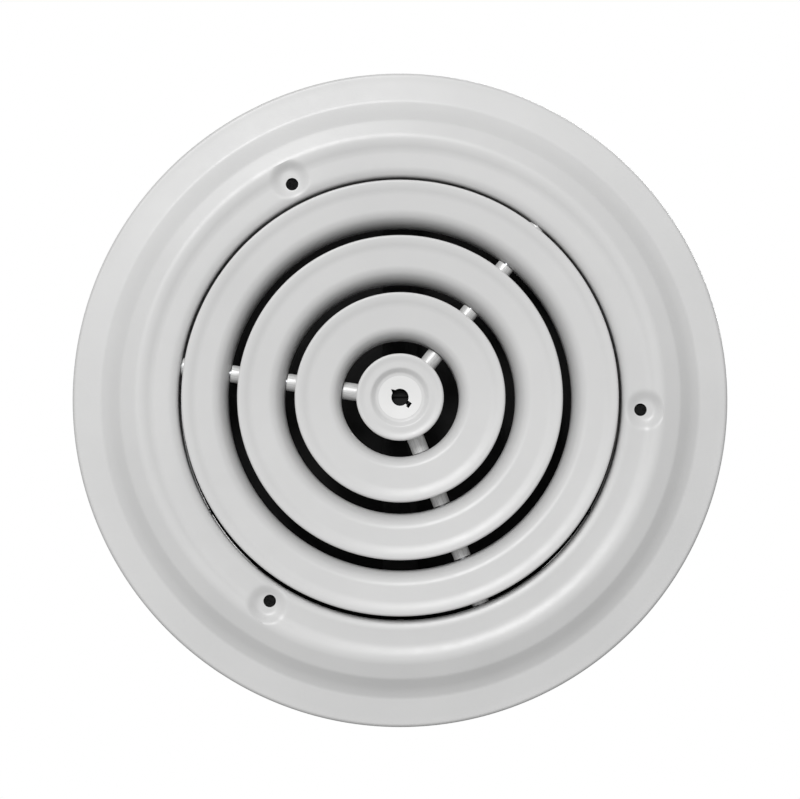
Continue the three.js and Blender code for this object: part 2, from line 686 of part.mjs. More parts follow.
place('damper_seat', makeDamperSeat(), blackSteel());
Object.entries(SEAT_RIVET_ANGLES).forEach(([letter, angle]) => {
  const inner = SEAT_OUTER_RADIUS - SEAT_SHEET;
  place(`seat_rivet_${letter}`, makeWallRivet(angle, seatRivetZ, inner), zincSteel());
});
const hingeRod = bar(HINGE_ROD_RADIUS, -HINGE_ROD_HALF_LENGTH, HINGE_ROD_HALF_LENGTH)
  .rotateX(-Math.PI / 2)
  .translate(0, 0, HINGE_Z);
place('hinge_rod', hingeRod, zincSteel());
place('rod_clip_front', makeClip(1), zincSteel());
place('rod_clip_back', makeClip(-1), zincSteel());

const rightLeaf = place('damper_leaf_right', leafOnRight(RIGHT_KNUCKLES), blackSteel());
rightLeaf.position.z = HINGE_Z;
const leftLeaf = place('damper_leaf_left', leafOnRight(LEFT_KNUCKLES.map((y) => -y)), blackSteel());
leftLeaf.position.z = HINGE_Z;
leftLeaf.rotation.z = Math.PI;

place('damper_bridge', makeBridge(), blackSteel());
place('bridge_rivet_front', makeWallRivet(90, bridgeRivetZ, BRIDGE_HALF_LENGTH - BRIDGE_SHEET), zincSteel());
place('bridge_rivet_back', makeWallRivet(-90, bridgeRivetZ, BRIDGE_HALF_LENGTH - BRIDGE_SHEET), zincSteel());
place('bridge_nut', makeNut(), zincSteel());
place('lift_saddle', makeSaddle(), zincSteel());
place('adjusting_screw', makeAdjustingScrew(), blackSteel());

export default group;
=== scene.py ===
import math

import bmesh
import bpy
from mathutils import Matrix, Vector


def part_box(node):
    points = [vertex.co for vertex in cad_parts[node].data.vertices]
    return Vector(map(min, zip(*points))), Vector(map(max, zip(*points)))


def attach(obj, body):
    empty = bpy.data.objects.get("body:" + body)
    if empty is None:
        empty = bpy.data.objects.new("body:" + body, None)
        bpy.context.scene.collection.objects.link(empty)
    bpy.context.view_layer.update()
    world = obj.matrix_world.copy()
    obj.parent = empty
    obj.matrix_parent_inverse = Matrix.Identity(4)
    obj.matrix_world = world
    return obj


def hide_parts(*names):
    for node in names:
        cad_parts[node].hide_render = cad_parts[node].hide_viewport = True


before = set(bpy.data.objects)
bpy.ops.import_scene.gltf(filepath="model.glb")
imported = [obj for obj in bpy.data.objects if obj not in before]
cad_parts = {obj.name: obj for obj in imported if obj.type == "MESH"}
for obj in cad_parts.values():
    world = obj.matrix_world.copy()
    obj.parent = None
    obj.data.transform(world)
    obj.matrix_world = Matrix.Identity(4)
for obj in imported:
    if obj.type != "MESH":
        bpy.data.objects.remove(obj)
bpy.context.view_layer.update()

MM = 0.001


def rad(degrees):
    return math.radians(degrees)


def middle_height(node):
    """Height of the middle of a CAD node, in millimetres."""
    low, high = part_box(node)
    return (low.z + high.z) / 2 / MM


# ------------------------------------------------------------------ sizes, in millimetres
# Places come from the frame, so the pieces made here land on the CAD bodies. Angles are in
# degrees. Round the axis they start at +X, and a TILT is the slope of a sheet's face from level.

# Frame and sheet
FRAME_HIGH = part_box("ceiling_frame")[1]
FACE_RADIUS = FRAME_HIGH.x / MM
FRAME_LIP_TOP = FRAME_HIGH.z / MM
NECK_RADIUS = 100.6
SHEET = 0.8
HEM = 1.8
LIP_ROLL = 0.9
CLEARANCE = 0.3
RIM_WIDTH = 2.4
RIM_HEIGHT = 2.6
RIM_ROLL = 1.5
FLANGE_TILT = -4
SLOPE_TILT = -36
CURL_RADIUS = 2.4
CURL_TILT = 20
BAND_BEND = 10
BAND_Z = -9.9
CREST_RADIUS = 118.55

# Screw holes and their pressed pads
SCREW_CIRCLE = 109.3
SCREW_HOLE = 2.85
SCREW_ANGLES = (-116.7, 2.7, 122.7)
PAD_RADIUS = 9.0
PAD_FLOOR_RADIUS = 4.4
PAD_OFFSET = 2.0
PAD_FLOOR_Z = -8.3

# Hub disc: dish, tool hole and its two notches
HUB_DISH_RISE = 2.1
HUB_DISH_RADIUS = 13.8
HUB_DISH_BEND = 1.6
HUB_BEND_RISE = 0.37
HUB_WALL_TILT = 40
HUB_HOLE_RADIUS = 3.9
HUB_SLOT_ANGLE = 36
HUB_SLOT_END = 5.9
HUB_POINT_ANGLE = -137
HUB_POINT_OFFSET = 3.5
HUB_POINT_RADIUS = 2.0
# Radius of the painted highlight on the hub's dish floor
HUB_PAINTED_HIGHLIGHT_RADIUS = 10.2

# Rings
LIP_BEND = 14
LIP_TILT = 14
PLATE_TILT = 3
MOUTH_TILT = 46
THROATS = {"inner_ring": 26.7, "middle_ring": 52.3, "outer_ring": 78.0}
THROAT_BENDS = {"inner_ring": (4.6, 9.0), "middle_ring": (6.5, 12.0), "outer_ring": (6.5, 12.0)}
RING_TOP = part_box("inner_ring")[1].z / MM

# Spokes: rods, and the tubes that keep the rings apart
SPOKE_ANGLES = {"a": -51.5, "b": 68.5, "c": 188.5}
SPOKE_Z = middle_height("spacer_hub_a")
TUBE_RADIUS = 3.95
TUBE_BORE = 2.4
TUBE_ROLL = 0.35
TUBE_SIDES = 48
TUBE_STATIONS = 10
TUBE_CLEARANCES = {"hub": 0.35, "inner": 0.5, "middle": 1.1, "outer": 1.9}
ROD_RADIUS = 1.9
ROD_HEAD_RADIUS = 2.6
ROD_HEAD_START = 102.4
CORE_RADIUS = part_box("hub_core")[1].x / MM
SPANS = {
    "hub": (CORE_RADIUS, THROATS["inner_ring"]),
    "inner": (THROATS["inner_ring"] + SHEET, THROATS["middle_ring"]),
    "middle": (THROATS["middle_ring"] + SHEET, THROATS["outer_ring"]),
    "outer": (THROATS["outer_ring"] + SHEET, NECK_RADIUS),
}

# Damper
HINGE_Z = middle_height("hinge_rod")
HINGE_ROD_RADIUS = 1.7
RIGHT_KNUCKLES = (-56, 24, 72)
LEFT_KNUCKLES = (-72, -24, 56)
EAR_INNER = 97.0
SEAT_RIVET_ANGLES = {"a": 30, "b": 150, "c": 270}
SEAT_RIVET_Z = middle_height("seat_rivet_a")
BRIDGE_ANGLES = {"front": 90, "back": -90}
BRIDGE_RIVET_Z = middle_height("bridge_rivet_front")
RIVET_RADIUS = 1.6
RIVET_HEAD_RADIUS = 3.0
SEAT_SHEET = 1.0
SEAT_INNER = 92.0
SEAT_HEIGHT = 9.0
LEAF_RADIUS = 97.0
LEAF_HALF_LENGTH = 94.5
LEAF_HALF_SHEET = 0.4
LEAF_EDGE = 3.6
LEAF_RIBS = ((30, 60), (58, 44))
LUG_REACH = 12.0
LUG_TILT = 40
LUG_NOSE = 2.0
STRAP_SHEET = 1.2
STRAP_HALF_WIDTH = 8.0
SADDLE_SHEET = 1.5
SADDLE_LIP = 7.6
NUT_RADIUS = 4.8
SCREW_RADIUS = 2.5
SCREW_HEAD_RADIUS = 4.2
SCREW_HEAD_HEIGHT = 3.2
SCREW_PITCH = 1.0
SCREW_THREAD_DEPTH = 0.35

# Camera: share of the view's width that the face fills, distance in metres, sensor in millimetres
FACE_SHARE = 0.818
CAMERA_DISTANCE = 3.0
CAMERA_TILT = 3.5
SENSOR_WIDTH = 36


# ------------------------------------------------------------------ node helpers
def new_material(name):
    """A material with its nodes, its links and its main shader."""
    material = bpy.data.materials.new(name)
    material.use_nodes = True
    nodes = material.node_tree.nodes
    return material, nodes, material.node_tree.links, nodes["Principled BSDF"]


def noise(nodes, links, source, scale, detail=3.0, rough=0.5):
    """Procedural noise, as a value from 0 to 1."""
    node = nodes.new("ShaderNodeTexNoise")
    node.inputs["Scale"].default_value = scale
    node.inputs["Detail"].default_value = detail
    node.inputs["Roughness"].default_value = rough
    links.new(source, node.inputs["Vector"])
    return node.outputs["Fac"]


def spread(nodes, links, value, low, high, from_low=0.3, from_high=0.7):
    """Stretches a value from one range to another, and clamps it there."""
    node = nodes.new("ShaderNodeMapRange")
    node.inputs["From Min"].default_value = from_low
    node.inputs["From Max"].default_value = from_high
    node.inputs["To Min"].default_value = low
    node.inputs["To Max"].default_value = high
    links.new(value, node.inputs["Value"])
    return node.outputs["Result"]


def blend_colours(nodes, links, factor, first, second):
    node = nodes.new("ShaderNodeMix")
    node.data_type = "RGBA"
    links.new(factor, node.inputs["Factor"])
    node.inputs["A"].default_value = (*first, 1)
    node.inputs["B"].default_value = (*second, 1)
    return node.outputs["Result"]


def bump(nodes, links, height, distance, strength, shader, below=None):
    """Bump from a height value, laid over the bump below it if there is one."""
    node = nodes.new("ShaderNodeBump")
    node.inputs["Distance"].default_value = distance
    node.inputs["Strength"].default_value = strength
    links.new(height, node.inputs["Height"])
    if below is not None:
        links.new(below, node.inputs["Normal"])
    links.new(node.outputs["Normal"], shader.inputs["Normal"])
    return node.outputs["Normal"]


def object_place(nodes):
    """The point in the object's own coordinates, in metres."""
    return nodes.new("ShaderNodeTexCoord").outputs["Object"]


# ------------------------------------------------------------------ materials
def powder_coat(name, dark, light):
    """Light grey-white satin powder coat: faint tone drift, and the fine grain of sprayed powder."""
    material, nodes, links, shader = new_material(name)
    place = object_place(nodes)
    drift = noise(nodes, links, place, 22, 3)
    tone = spread(nodes, links, drift, 0, 1)
    links.new(blend_colours(nodes, links, tone, dark, light), shader.inputs["Base Color"])
    satin = noise(nodes, links, place, 180, 2)
    links.new(spread(nodes, links, satin, 0.32, 0.38), shader.inputs["Roughness"])
    grain = noise(nodes, links, place, 2600, 2, 0.6)
    ripple = noise(nodes, links, place, 420, 2)
    first = bump(nodes, links, ripple, 0.00006, 0.25, shader)
    bump(nodes, links, grain, 0.00004, 0.35, shader, first)
    return material


def bright_tube():
    """Drawn aluminium tube, bright anodised: lengthwise draw lines along V of the piece's UV map."""
    material, nodes, links, shader = new_material("bright_tube")
    uv = nodes.new("ShaderNodeTexCoord").outputs["UV"]
    stretch = nodes.new("ShaderNodeMapping")
    stretch.inputs["Scale"].default_value = (26, 0.9, 1)
    links.new(uv, stretch.inputs["Vector"])
    lines = noise(nodes, links, stretch.outputs["Vector"], 2, 4, 0.7)
    tone = spread(nodes, links, lines, 0, 1, 0.35, 0.65)
    colour = blend_colours(nodes, links, tone, (0.60, 0.60, 0.60), (0.88, 0.88, 0.87))
    links.new(colour, shader.inputs["Base Color"])
    links.new(spread(nodes, links, lines, 0.28, 0.46), shader.inputs["Roughness"])
    bump(nodes, links, lines, 0.00006, 0.5, shader)
    shader.inputs["Metallic"].default_value = 0.2
    return material


def black_coat_with_painted_shade():
    """Matt black paint on the damper, set darker than real paint so that it also stands in for the
    deep shade inside the neck, with faint dust and a dry grain.
    """
    material, nodes, links, shader = new_material("black_coat_with_painted_shade")
    place = object_place(nodes)
    dust = noise(nodes, links, place, 60, 5, 0.65)
    tone = spread(nodes, links, dust, 0, 1, 0.45, 0.8)
    # Painted shade: this black is darker than paint is, so that it stands for the shade deep in the
    # neck.
    colour = blend_colours(nodes, links, tone, (0.004, 0.004, 0.0042), (0.010, 0.010, 0.0105))
    links.new(colour, shader.inputs["Base Color"])
    grain = noise(nodes, links, place, 1900, 2, 0.6)
    links.new(spread(nodes, links, dust, 0.55, 0.75), shader.inputs["Roughness"])
    bump(nodes, links, grain, 0.00006, 0.4, shader)
    shader.inputs["Specular IOR Level"].default_value = 0.25
    return material


def zinc_plate():
    """Bright zinc plate: cloudy tone and fine turning marks."""
    material, nodes, links, shader = new_material("zinc_plate")
    place = object_place(nodes)
    cloud = noise(nodes, links, place, 260, 4)
    tone = spread(nodes, links, cloud, 0, 1)
    colour = blend_colours(nodes, links, tone, (0.42, 0.43, 0.45), (0.62, 0.63, 0.64))
    links.new(colour, shader.inputs["Base Color"])
    links.new(spread(nodes, links, cloud, 0.28, 0.45), shader.inputs["Roughness"])
    grain = noise(nodes, links, place, 3000, 2)
    bump(nodes, links, grain, 0.00003, 0.3, shader)
    shader.inputs["Metallic"].default_value = 1.0
    return material


def black_foam():
    """Open-cell foam: small dark pores in a matt black sheet."""
    material, nodes, links, shader = new_material("black_foam")
    cells = nodes.new("ShaderNodeTexVoronoi")
    cells.inputs["Scale"].default_value = 1100
    links.new(object_place(nodes), cells.inputs["Vector"])
    pores = cells.outputs["Distance"]
    tone = spread(nodes, links, pores, 0, 1, 0.1, 0.6)
    colour = blend_colours(nodes, links, tone, (0.003, 0.003, 0.003), (0.014, 0.014, 0.014))
    links.new(colour, shader.inputs["Base Color"])
    shader.inputs["Roughness"].default_value = 1.0
    shader.inputs["Specular IOR Level"].default_value = 0.1
    bump(nodes, links, pores, 0.0003, 0.7, shader)
    return material


POWDER = powder_coat("powder_coat", (0.662, 0.662, 0.660), (0.694, 0.694, 0.691))
# A lighter copy of the same powder coat: a painted highlight for the hub's dish floor, which is the
# same paint as the rest.
POWDER_PAINTED_HIGHLIGHT = powder_coat("powder_coat_painted_highlight", (0.79, 0.79, 0.785), (0.84, 0.84, 0.835))
TUBE = bright_tube()
BLACK_PAINT_AND_SHADE = black_coat_with_painted_shade()
ZINC = zinc_plate()
FOAM = black_foam()


# ------------------------------------------------------------------ pressed-sheet profiles
class Profile:
    """Face-side stations (radius, height, tilt) drawn inwards from the rim. Tilt is the angle between
    the face and level in degrees, positive where the face looks towards the axis."""

    def __init__(self, radius, height, tilt=0.0):
        self.stations = [(radius, height, tilt)]

    def line(self, length, steps=4):
        """A straight run at the present tilt."""
        r, z, tilt = self.stations[-1]
        for i in range(1, steps + 1):
            run = length * i / steps
            self.stations.append((r - run * math.cos(rad(tilt)), z + run * math.sin(rad(tilt)), tilt))
        return self

    def line_to_radius(self, radius, steps=4):
        r, _, tilt = self.stations[-1]
        return self.line((r - radius) / math.cos(rad(tilt)), steps)

    def line_to_height(self, height, steps=8):
        _, z, tilt = self.stations[-1]
        return self.line((height - z) / math.sin(rad(tilt)), steps)

    def bend(self, radius, to_tilt, step=4.0):
        """An arc of the given radius from the present tilt to another."""
        r, z, tilt = self.stations[-1]
        steps = max(2, math.ceil(abs(to_tilt - tilt) / step))
        turn = math.copysign(radius, to_tilt - tilt)
        for i in range(1, steps + 1):
            angle = tilt + (to_tilt - tilt) * i / steps
            run = turn * (math.sin(rad(angle)) - math.sin(rad(tilt)))
            rise = turn * (math.cos(rad(tilt)) - math.cos(rad(angle)))
            self.stations.append((r - run, z + rise, angle))
        return self

    def back(self, thickness):
        """The points of the hidden side, a sheet's thickness behind the face, from the inside out."""
        return [
            (r + thickness * math.sin(rad(tilt)), z + thickness * math.cos(rad(tilt)))
            for r, z, tilt in reversed(self.stations)
        ]

    def face(self):
        return [(r, z) for r, z, _ in self.stations]


def arc(centre_r, centre_z, radius, start, end, steps):
    """Points on an arc, with both ends. Angles are in degrees from the radius axis."""
    return [
        (centre_r + radius * math.cos(rad(start + (end - start) * i / steps)),
         centre_z + radius * math.sin(rad(start + (end - start) * i / steps)))
        for i in range(steps + 1)
    ]


def mirrored(points):
    """The points reflected in the vertical axis, in reverse order."""
    return [(-x, z) for x, z in reversed(points)]


def rounded_section(inner, outer, bottom, top, edge, steps):
    """The outline of a flat ring with rounded edges."""
    return (
        arc(inner + edge, bottom + edge, edge, 180, 270, steps)
        + arc(outer - edge, bottom + edge, edge, 270, 360, steps)
        + arc(outer - edge, top - edge, edge, 0, 90, steps)
        + arc(inner + edge, top - edge, edge, 90, 180, steps)
    )


# ------------------------------------------------------------------ mesh helpers
def finish_mesh(name, bm, material, smooth_angle=35.0):
    """Makes an object of a mesh: welded, shaded smooth, and sharp at its hard edges."""
    bmesh.ops.remove_doubles(bm, verts=bm.verts, dist=1e-7)
    bmesh.ops.dissolve_degenerate(bm, dist=1e-8, edges=bm.edges)
    bmesh.ops.recalc_face_normals(bm, faces=bm.faces)
    for face in bm.faces:
        face.smooth = True
    for edge in bm.edges:
        if len(edge.link_faces) == 2 and edge.calc_face_angle(0) > rad(smooth_angle):
            edge.smooth = False
    mesh = bpy.data.meshes.new(name)
    bm.to_mesh(mesh)
    bm.free()
    piece = bpy.data.objects.new(name, mesh)
    piece.data.materials.append(material)
    bpy.context.scene.collection.objects.link(piece)
    return piece


def revolve(outline, segments, shift=None):
    """A bmesh of revolution about Z from a closed outline in millimetres. shift(x, y, z) may move a
    point of it."""
    bm = bmesh.new()
    rings = []
    for i in range(segments):
        angle = 2 * math.pi * i / segments
        ring = []
        for r, z in outline:
            x, y = r * math.cos(angle), r * math.sin(angle)
            point = (x, y, z) if shift is None else shift(x, y, z)
            ring.append(bm.verts.new(Vector(point) * MM))
        rings.append(ring)
    count = len(outline)
    for i in range(segments):
        here, there = rings[i], rings[(i + 1) % segments]
        for j in range(count):
            k = (j + 1) % count
            bm.faces.new((here[j], there[j], there[k], here[k]))
    return bm


def spin(bm, degrees, axis):
    """Turns a mesh about an axis through the origin."""
    bmesh.ops.rotate(bm, verts=bm.verts, cent=(0, 0, 0), matrix=Matrix.Rotation(rad(degrees), 3, axis))
    return bm


def move(bm, x=0.0, y=0.0, z=0.0):
    bmesh.ops.translate(bm, verts=bm.verts, vec=(x * MM, y * MM, z * MM))
    return bm


def peg(low_radius, high_radius, depth, sides):
    """A closed peg that stands on Z, centred on the origin, in millimetres."""
    bm = bmesh.new()
    sizes = {"radius1": low_radius * MM, "radius2": high_radius * MM, "depth": depth * MM}
    bmesh.ops.create_cone(bm, cap_ends=True, segments=sides, **sizes)
    return bm


def rod_mesh(radius, start, end, sides=48):
    """A closed round bar along +X from start to end, in millimetres."""
    return move(spin(peg(radius, radius, end - start, sides), 90, "Y"), x=(start + end) / 2)


def turn_to(bm, angle, height):
    """Turns a mesh that lies along +X to an angle about the axis, and lifts it."""
    return move(spin(bm, angle, "Z"), z=height)


def apply_boolean(piece, bm, operation):
    """Joins one closed mesh to the piece or takes it away, and keeps the result as a plain mesh."""
    mesh = bpy.data.meshes.new("tool")
    bm.to_mesh(mesh)
    bm.free()
    tool = bpy.data.objects.new("tool", mesh)
    bpy.context.scene.collection.objects.link(tool)
    modifier = piece.modifiers.new("tool", "BOOLEAN")
    modifier.operation = operation
    modifier.solver = "EXACT"
    modifier.object = tool
    graph = bpy.context.evaluated_depsgraph_get()
    result = bpy.data.meshes.new_from_object(piece.evaluated_get(graph))
    old = piece.data
    piece.modifiers.clear()
    piece.data = result
    bpy.data.meshes.remove(old)
    bpy.data.objects.remove(tool)
    bpy.data.meshes.remove(mesh)


def cut(piece, cutters):
    """Takes separate cutter meshes away from the piece in one go."""
    joined = bmesh.new()
    for cutter in cutters:
        mesh = bpy.data.meshes.new("cutter")
        cutter.to_mesh(mesh)
        cutter.free()
        joined.from_mesh(mesh)
        bpy.data.meshes.remove(mesh)
    apply_boolean(piece, joined, "DIFFERENCE")
    return piece


def weld(piece, additions):
    """Joins closed meshes to the piece, one by one."""
    for addition in additions:
        apply_boolean(piece, addition, "UNION")
    return piece


def slab(corners, low, high):
    """A closed plate between two heights from its outline corners in millimetres."""
    bm = bmesh.new()
    bottom = [bm.verts.new((x * MM, y * MM, low * MM)) for x, y in corners]
    top = [bm.verts.new((x * MM, y * MM, high * MM)) for x, y in corners]
    bm.faces.new(list(reversed(bottom)))
    bm.faces.new(top)
    for i in range(len(corners)):
        j = (i + 1) % len(corners)
        bm.faces.new((bottom[i], bottom[j], top[j], top[i]))
    return bm


def slab_box(xs, ys, zs):
    return slab([(xs[0], ys[0]), (xs[1], ys[0]), (xs[1], ys[1]), (xs[0], ys[1])], zs[0], zs[1])


def lay_along_y(bm):
    """Turns a mesh that stands on Z so that its Z runs along Y."""
    return spin(bm, -90, "X")


def soften(bm, radius, sharp_angle=30.0):
    """Rounds the hard edges of a closed mesh by a small radius."""
    edges = [e for e in bm.edges if len(e.link_faces) == 2 and e.calc_face_angle(0) > rad(sharp_angle)]
    shape = {"segments": 3, "profile": 0.5, "affect": "EDGES", "clamp_overlap": True}
    bmesh.ops.bevel(bm, geom=edges, offset=radius * MM, **shape)
    return bm


def to_radius(bm, angle, height):
    """Turns a mesh of revolution so that its axis runs out along the radius at an angle."""
    return turn_to(spin(bm, 90, "Y"), angle, height)


def spindle(outline, sides=48):
    """A solid of revolution about Z from (radius, height) points that start and end on the axis."""
    bm = bmesh.new()
    poles = [bm.verts.new((0, 0, z * MM)) for _, z in (outline[0], outline[-1])]
    rows = []
    for k in range(sides):
        turn = 2 * math.pi * k / sides
        points = [(r * math.cos(turn), r * math.sin(turn), z) for r, z in outline[1:-1]]
        rows.append([bm.verts.new(Vector(point) * MM) for point in points])
    for k in range(sides):
        here, there = rows[k], rows[(k + 1) % sides]
        bm.faces.new((poles[0], there[0], here[0]))
        bm.faces.new((poles[1], here[-1], there[-1]))
        for j in range(len(here) - 1):
            bm.faces.new((here[j], there[j], there[j + 1], here[j + 1]))
    return bm


def domed_head(radius, start, end, steps=6):
    """Points of a low dome from its rim at start to its crown at end."""
    return [
        (radius * math.cos(rad(90 * i / steps)), start + (end - start) * math.sin(rad(90 * i / steps)))
        for i in range(steps + 1)
    ]


def settle(piece, body, slot, *nodes):
    """Ties a piece to its body and hides the CAD nodes that it replaces. The slot is not used."""
    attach(piece, body)
    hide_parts(*nodes)
    return piece


def round_holes(angles, wall, radius, height, reach=4.0):
    """Cutters for a round hole at each angle, drilled out along the radius through a wall."""
    ends = (wall - reach, wall + reach)
    return [turn_to(rod_mesh(radius, *ends), angle, height) for angle in angles.values()]


def spoke_holes(wall, reach=4.0):
    return round_holes(SPOKE_ANGLES, wall, ROD_RADIUS + CLEARANCE, SPOKE_Z, reach)


def hemmed(profile, lip, lip_z):
    """The closed outline of a pressed disc, with its edge rolled over and hemmed behind the lip."""
    back = profile.back(SHEET)
    fold = [
        (lip - HEM, back[-1][1] + 0.15),
        (lip - HEM, lip_z + HEM - 0.2),
        (lip - HEM + 0.2, lip_z + HEM),
    ]
    roll = arc(lip - LIP_ROLL, lip_z + LIP_ROLL, LIP_ROLL, 90, -90, 12)[:-1]
    return profile.face() + back[:-1] + fold + roll


# ------------------------------------------------------------------ frame
def smoothstep(low, high, value):
    t = min(1.0, max(0.0, (value - low) / (high - low)))
    return t * t * (3 - 2 * t)


PADS = [(math.cos(rad(angle)), math.sin(rad(angle))) for angle in SCREW_ANGLES]


def press_pads(x, y, z):
    """Presses the round pads of the screw holes into the band: a shallow cone and a flat floor."""
    radius = math.hypot(x, y)
    if z > PAD_FLOOR_Z + 2 or radius > CREST_RADIUS + 1:
        return x, y, z
    for cx, cy in PADS:
        centre = SCREW_CIRCLE + PAD_OFFSET
        pad = math.dist((x, y), (cx * centre, cy * centre))
        if pad < PAD_RADIUS:
            share = 1 - smoothstep(PAD_FLOOR_RADIUS - 0.6, PAD_RADIUS + 0.4, pad)
            return x, y, z + max(0.0, PAD_FLOOR_Z - band_height(radius)) * share
    return x, y, z


def frame_profile():
    """Flange, fillet, outward slope, rounded crest, inward step, flat band, curl and upright lip."""
    profile = Profile(FACE_RADIUS - RIM_WIDTH, -RIM_HEIGHT, FLANGE_TILT)
    profile.line_to_radius(136.8)
    profile.bend(5, -22, 2.0)
    profile.bend(20, SLOPE_TILT, 2.0)
    profile.line_to_radius(128)
    profile.bend(5, -17, 2.0)
    profile.line_to_radius(121.2)
    profile.bend(9, 0, 1.0)
    profile.bend(14, 15, 1.0)
    profile.bend(14, 0, 1.0)
    slant = math.sin(rad(CURL_TILT))
    profile.line_to_radius(NECK_RADIUS + BAND_BEND * slant + CURL_RADIUS * (1 - slant), 10)
    profile.bend(BAND_BEND, CURL_TILT, 2.0)
    profile.bend(CURL_RADIUS, 90, 4.0)
    profile.line_to_height(FRAME_LIP_TOP, 3)
    return profile


FRAME_PROFILE = frame_profile()


def band_height(radius):
    """Height of the frame's face at a radius, between the crest and the neck."""
    previous = FRAME_PROFILE.stations[0]
    for station in FRAME_PROFILE.stations[1:]:
        if station[0] <= radius:
            span = previous[0] - station[0]
            share = 0 if span < 1e-9 else (previous[0] - radius) / span
            return previous[1] + (station[1] - previous[1]) * share
        previous = station
    return previous[1]


def make_frame():
    """The stamped frame: pressed profile, hemmed rim, three screw pads and the holes for the rods."""
    back = FRAME_PROFILE.back(SHEET)
    rim_foot = back[-1][1]
    rim_inner = FACE_RADIUS - RIM_WIDTH
    hem = [
        (rim_inner - 0.2, rim_foot),
        (rim_inner, rim_foot + 0.6),
        (rim_inner, -0.2),
        (rim_inner + 0.3, 0),
        (FACE_RADIUS - 0.3, 0),
        (FACE_RADIUS, -0.3),
    ]
    roll = arc(FACE_RADIUS - RIM_ROLL, -RIM_HEIGHT + RIM_ROLL, RIM_ROLL, 0, -86, 14)
    outline = FRAME_PROFILE.face() + back[:-1] + hem + roll
    piece = finish_mesh("frame_shell", revolve(outline, 720, press_pads), POWDER)
    cutters = spoke_holes(NECK_RADIUS, 5.0)
    for cx, cy in PADS:
        hole = peg(SCREW_HOLE, SCREW_HOLE, 12, 48)
        cutters.append(move(hole, cx * SCREW_CIRCLE, cy * SCREW_CIRCLE, BAND_Z))
    cut(piece, cutters)
    return settle(piece, "diffuser", "white_paint", "ceiling_frame")


# ------------------------------------------------------------------ rings and hub
def make_ring(node, throat, throat_bends):
    """A bell-mouth ring: rolled lip, curved step, nearly level plate, mouth and throat wall."""
    low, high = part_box(node)
    lip, lip_z = high.x / MM, low.z / MM
    mouth, wall = throat_bends
    slant = math.sin(rad(MOUTH_TILT))
    plate_end = throat + mouth * (slant - math.sin(rad(PLATE_TILT))) + wall * (1 - slant)
    profile = Profile(lip - LIP_ROLL, lip_z, 0)
    profile.bend(LIP_BEND, LIP_TILT, 1.0)
    profile.bend(LIP_BEND, PLATE_TILT, 1.0)
    profile.line_to_radius(plate_end, 10)
    profile.bend(mouth, MOUTH_TILT, 2.0)
    profile.bend(wall, 90, 2.0)
    profile.line_to_height(RING_TOP)
    piece = finish_mesh(node + "_shell", revolve(hemmed(profile, lip, lip_z), 320), POWDER)
    cut(piece, spoke_holes(throat))
    return settle(piece, "diffuser", "white_paint", node)


def hub_tools(floor_z):
    """Cutters for the two notches of the tool hole: a hooked slot and a pointed nick."""
    depth = (floor_z - 3, floor_z + 3)
    slot = slab_box((HUB_HOLE_RADIUS - 1, HUB_SLOT_END), (-0.95, 0.95), depth)
    hook = slab_box((HUB_SLOT_END - 1.3, HUB_SLOT_END + 0.1), (-0.9, 1.7), depth)
    point = peg(HUB_POINT_RADIUS, HUB_POINT_RADIUS, 6, 3)
    corner = next(iter(point.verts)).co
    spin(point, -math.degrees(math.atan2(corner.y, corner.x)), "Z")
    move(point, HUB_POINT_OFFSET, 0, floor_z)
    return [
        spin(slot, HUB_SLOT_ANGLE, "Z"),
        spin(hook, HUB_SLOT_ANGLE, "Z"),
        spin(point, HUB_POINT_ANGLE, "Z"),
    ]


def make_hub():
    """The dished hub: rolled lip, level rim, sloped wall and a floor with the tool hole. The floor
    carries a lighter copy of the same powder coat, a painted highlight.
    """
    low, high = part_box("hub_disc")
    lip, lip_z = high.x / MM, low.z / MM
    floor_z = lip_z + HUB_DISH_RISE
    profile = Profile(lip - LIP_ROLL, lip_z, 0)
    profile.bend(6, 12, 2.0)
    profile.bend(10, 0, 2.0)
    profile.line_to_radius(HUB_DISH_RADIUS, 6)
    profile.bend(HUB_DISH_BEND, HUB_WALL_TILT, 3.0)
    profile.line_to_height(floor_z - HUB_BEND_RISE, 3)
    profile.bend(HUB_DISH_BEND, PLATE_TILT, 3.0)
    profile.line_to_radius(HUB_HOLE_RADIUS, 8)
    piece = finish_mesh("hub_dish", revolve(hemmed(profile, lip, lip_z), 192), POWDER)
    for tool in hub_tools(floor_z):
        cut(piece, [tool])
    # Painted highlight: the dish floor, inside its radius, gets the lighter copy of the powder coat.
    piece.data.materials.append(POWDER_PAINTED_HIGHLIGHT)
    for polygon in piece.data.polygons:
        radius = math.hypot(polygon.center.x, polygon.center.y) / MM
        in_painted_highlight = radius < HUB_PAINTED_HIGHLIGHT_RADIUS and polygon.center.z / MM < floor_z + SHEET / 2
        polygon.material_index = 1 if in_painted_highlight else 0
    return settle(piece, "diffuser", "white_paint", "hub_disc")


